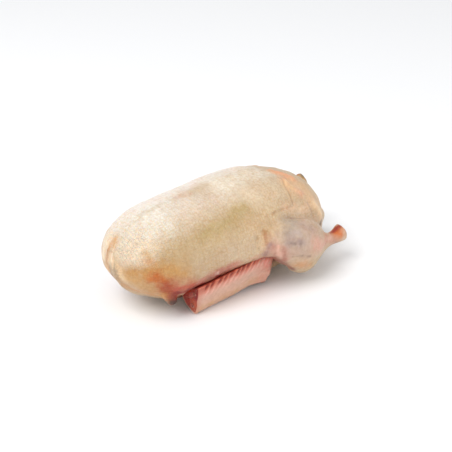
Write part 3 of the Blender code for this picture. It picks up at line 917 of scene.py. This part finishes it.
def over_blade(length, seed):
    """Soft unevenness over the blade."""
    return lumps(blade_grid.reshape(-1, 3), length, seed).reshape(blade_x.shape)


elbow_point = near(blade_grid.reshape(-1, 3), (52, 65, 8), 5.5).reshape(blade_x.shape)
blade_out = 0.0006 * over_blade(0.03, 31) + 0.0003 * over_blade(0.01, 32) + 0.0032 * elbow_point
blade_out -= 0.0024 * pit_mask + 0.0007 * welt_mask + 0.001 * bell(down, 0.036, 0.003) * (blade_x > 0.0)

blade_mottle = np.clip(0.8 + 0.5 * over_blade(0.014, 33) + 0.3 * over_blade(0.006, 34), 0, 1.3)
upper_edge = bell(down, 0.003, 0.0082)
elbow_end = below(-blade_x, -0.036, 0.006)
low_elbow = bell(np.maximum(down, 0.014), 0.014, 0.014)
streaks = np.clip(-np.sin(2 * np.pi * quill_phase), 0, 1) * bell(down, 0.014, 0.008) * in_row
blade_layers = (
    (0.5 * blade_mottle * bell(down, 0.028, 0.012), (206, 170, 150)),
    (0.75 * bell(down, 0.047, 0.008) * blade_mottle * (1 - elbow_end), (214, 172, 128)),
    (0.9 * elbow_end * blade_mottle * (0.25 + 0.75 * low_elbow), (236, 112, 96)),
    (0.7 * bell(down, 0.01, 0.009) * blade_mottle, (222, 128, 110)),
    (0.95 * upper_edge, (184, 72, 30)),
    (0.5 * below(blade_x, -0.074, 0.003), (196, 124, 104)),
    # The top face, turned up into the gap under the body, in dark red: partly its red colour, partly painted
    # shade.
    (0.85 * (down < -0.001) * (down > -0.05), (160, 34, 24)),
    (0.7 * streaks * (1 - 0.7 * upper_edge), (248, 200, 186)),
    (0.55 * np.clip(welt_mask, 0, 1), (196, 92, 66)),
    (0.55 * np.clip(-welt_mask, 0, 1), (238, 160, 128)),
    (np.clip(3.0 * pit_mask, 0, 0.97), (146, 40, 6)),
    (0.85 * elbow_point, (110, 86, 80)),
)
blade_tint = np.tile(tone(222, 180, 158), (*blade_x.shape, 1))
for amount, colour in blade_layers:
    blade_tint = laid_over(blade_tint, amount, colour)

# Outward at each place is square to the section's run and the way along.
run_round = np.roll(blade_grid, -1, axis=1) - np.roll(blade_grid, 1, axis=1)
square_out = np.cross(np.gradient(blade_grid, axis=0), run_round)
square_out /= np.maximum(np.linalg.norm(square_out, axis=-1, keepdims=True), 1e-12)
middle = len(blade_grid) // 2
if (square_out[middle] * (blade_grid[middle] - blade_grid[middle].mean(axis=0))).sum() < 0:
    square_out = -square_out
blade_rows = rows_of(np.stack((blade_x, down, 0 * down), -1))
blade_grid = blade_grid + square_out * blade_out[..., None]

wing_skin = skin_material(
    "plucked_wing_skin", spacing=0.0034, pore_colour=(0.8, 0.62, 0.55), valley_colour=(0.9, 0.76, 0.7),
    roughness=0.38, bump=0.0007,
)
for side, name in SIDES:
    forearm_mesh = mesh_of(f"forearm_{name}", [in_place(blade_grid, side)], mirrored=side > 0)
    keep_tint(forearm_mesh, rows_of(blade_tint))
    keep(forearm_mesh, "pore_place", "FLOAT_VECTOR", blade_rows)
    keep(forearm_mesh, "pore_strength", "FLOAT", np.full(len(blade_rows), FOREARM_PORES))
    forearm_mesh.materials.append(wing_skin)
    forearm = added(f"forearm_{name}", forearm_mesh)
    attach(forearm, "root")
    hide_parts("goose")

# Cut faces of the wings.
# The sawn end of each forearm: dark red muscle in three bundles round two bone ends, inside
# the pale rim of the skin. It is wet and stands a little proud of the rim.
CUT_X = -0.0803
CUT_RIM = 0.9
CUT_DOME = 0.0016
CUT_THICKNESS = 0.004
SEAM_BEHIND = ((0, 50, 24), (0, 64, 26), (0, 76, 46))
SEAM_BELOW = ((0, 64, 26), (0, 67, 8))

# A disc of rings inside the sawn outline: domed, grained by fibres and parted along two seams.
cut_section = rounded(BLADE_SECTION, 120)
reach = np.sin(np.linspace(0, math.pi / 2, 40))[:, None]
cut_y = SAWN_OUT + SAWN_HALF_SIZES[0] * CUT_RIM * reach * cut_section[:, 0]
cut_z = SAWN_MIDDLE + SAWN_HALF_SIZES[1] * CUT_RIM * reach * cut_section[:, 1]
flat = np.stack((0 * cut_y, cut_y, cut_z), -1).reshape(-1, 3)
bundle_edge = near(flat, SEAM_BEHIND, 1.6) + near(flat, SEAM_BELOW, 1.6)
fibres = lumps(flat, 0.004, 41) + 0.6 * lumps(flat, 0.0018, 42)
grooves = (0.0004 * fibres - 0.001 * bundle_edge).reshape(cut_y.shape)
dome = CUT_DOME * (1 - reach**4) + grooves * (1 - reach**8)
front = np.stack((CUT_X + sawn_lean(cut_z) - dome, cut_y, cut_z), -1)
back = np.stack((CUT_X + sawn_lean(cut_z) + CUT_THICKNESS, cut_y, cut_z), -1)[::-1]
cut_grid = np.vstack((front, back))

muscle_patches = (
    (((0, 44, 26), (0, 52, 24)), 8.5, 0.9, (156, 38, 20)),
    (((0, 79, 45), (0, 75, 33)), 5.5, 0.9, (128, 22, 16)),
    (((0, 68, 20), (0, 69, 7)), 8, 0.8, (184, 96, 66)),
    (((0, 64.5, 31.5), (0, 62, 29)), 3.6, 0.4, (186, 110, 98)),
    (SEAM_BEHIND, 0.9, 0.4, (196, 140, 120)),
)
cut_tint = patched(tone(166, 46, 26) * (1 + 0.22 * fibres)[:, None], flat, muscle_patches, power=2.6)
cut_tint = cut_tint.reshape(*cut_y.shape, 3)
cut_tint = rows_of(np.vstack((cut_tint, cut_tint[::-1])))


def cut_material(name, scale, detail, roughness, strength, distance):
    """A wet cut surface, whose fine grain sets its roughness and relief. The grain comes with it."""
    material, tree, shader, place = new_material(name)
    grain = noise(tree, place, scale, detail)
    rough = ramp(tree, grain, 0.3, 0.7, *roughness)
    connect(tree, shader, {"Roughness": rough, "Normal": bumped(tree, grain, strength, distance)})
    return material, tree, shader, grain


meat, tree, shader, strands = cut_material(
    "cut_muscle", scale=900.0, detail=3.0, roughness=(0.22, 0.4), strength=0.8, distance=0.0004,
)
streaky = ramp(tree, strands, 0.4, 0.65, 0.0, 0.6)
connect(tree, shader, {
    "Base Color": mixed(tree, streaky, stored(tree, "tint"), (0.62, 0.45, 0.42)),
    "Coat Weight": 0.12, "Coat Roughness": 0.15, "Specular IOR Level": 0.3,
})
for side, name in SIDES:
    cut_mesh = mesh_of(f"cut_face_{name}", [in_place(cut_grid, side)], mirrored=side > 0)
    keep_tint(cut_mesh, cut_tint)
    cut_mesh.materials.append(meat)
    cut_face = added(f"cut_face_{name}", cut_mesh)
    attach(cut_face, "root")

# Bone ends of the wings.
# The two forearm bones in each cut face: a short ring of pale bone round dark red marrow. They
# are sawn off with the meat, which has shrunk back from them.
# Each bone: out, height, radius.
BONES = ((0.0725, 0.0385, 0.003), (0.065, 0.016, 0.0036))
BONE_PROUD = 0.0018
BONE_TONE = (170, 104, 88)
MARROW_TONE = (112, 46, 38)

bone, tree, shader, specks = cut_material(
    "sawn_bone", scale=1400.0, detail=3.0, roughness=(0.28, 0.5), strength=0.6, distance=0.0003,
)
stained = ramp(tree, specks, 0.4, 0.65, 0.0, 0.5)
connect(tree, shader, {"Base Color": mixed(tree, stained, stored(tree, "tint"), (0.75, 0.5, 0.45))})

# Profile of a bone end from the middle of the marrow outwards and back: share of the radius, depth.
bone_profile = carried(np.array((
    (-0.3, 0.0012), (0.0, 0.0012), (0.3, 0.0012), (0.58, 0.0008), (0.66, -0.0006), (0.86, -0.001),
    (1.0, -0.0004), (1.0, 0.004), (0.8, 0.006), (0.0, 0.006), (-0.8, 0.006),
)), 26)
share, depth = bone_profile.T[:, :, None]
angle = 2 * np.pi * np.arange(28) / 28
marrow = between(np.abs(share), 0.62, 0.52) * (depth < 0.003) + 0 * angle
ring_tint = rows_of(laid_over(np.array(tone(*BONE_TONE)), marrow, MARROW_TONE))
bone_grids = []
for number, (out, height, radius) in enumerate(BONES):
    oval = radius * share * (1 + 0.1 * np.cos(2 * angle + number) + 0.05 * np.cos(3 * angle))
    sawn_x = CUT_X + sawn_lean(height) - BONE_PROUD + depth + 0 * oval
    bone_grids.append(np.stack((sawn_x, out + oval * np.cos(angle), height + oval * np.sin(angle)), -1))
for side, name in SIDES:
    grids = [in_place(grid, side) for grid in bone_grids]
    bone_mesh = mesh_of(f"bone_ends_{name}", grids, mirrored=side > 0)
    keep_tint(bone_mesh, np.vstack([ring_tint] * len(BONES)))
    bone_mesh.materials.append(bone)
    bone_ends = added(f"bone_ends_{name}", bone_mesh)
    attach(bone_ends, "root")

# Hock joints.
# The bare end of each shank, where the foot was cut off at the joint: two rounded knobs of wet
# orange-red gristle with a groove between them, held in the flared rim of the skin.
HOCK_RADIUS = 0.0112
HOCK_DEPTH = 0.0052
HOCK_GROOVE = 0.0014
HOCK_LEAN = -0.4

gristle, tree, shader, blotches = cut_material(
    "wet_gristle", scale=260.0, detail=4.0, roughness=(0.22, 0.38), strength=0.6, distance=0.0005,
)
orange = mixed(tree, ramp(tree, blotches, 0.38, 0.62), (*tone(178, 74, 34), 1), tone(214, 138, 90), "MIX")
connect(tree, shader, {
    "Base Color": orange, "Coat Weight": 0.4, "Coat Roughness": 0.15,
    "Subsurface Weight": 0.15, "Subsurface Scale": 0.003,
})

# A cap of rings over a little more than half a ball, narrower between its two knobs.
tilt = np.linspace(-0.9, 1.0, 34)[:, None] * math.pi / 2
angle = 2 * np.pi * np.arange(56) / 56
knobs = HOCK_RADIUS * (0.86 + 0.14 * np.abs(np.cos(angle)) ** 1.5) * np.cos(tilt)
groove = HOCK_GROOVE * np.cos(tilt) * bell(np.cos(angle) * np.cos(tilt), 0, 0.3)
cap = np.stack((
    HOCK_DEPTH * np.sin(tilt) - groove, 0.82 * knobs * np.cos(angle), 1.12 * knobs * np.sin(angle),
), -1)
cap[..., 0] += HOCK_LEAN * cap[..., 2]
cap[0] = cap[0].mean(axis=0)
cap[-1] = cap[-1].mean(axis=0)
for side, name, shift, sunk in ((-1, "right", 0.0, 0.0012), (1, "left", LEFT_HOCK_SHIFT, 0.0034)):
    shank_end = limb(leg_rows, HIP, LEG_LENGTH, DRUMSTICK_RADIUS, side, shift)[-1, :3] - (sunk, 0, 0)
    hock_mesh = mesh_of(f"hock_joint_{name}", [in_place(cap + shank_end)])
    hock_mesh.materials.append(gristle)
    hock = added(f"hock_joint_{name}", hock_mesh)
    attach(hock, "root")
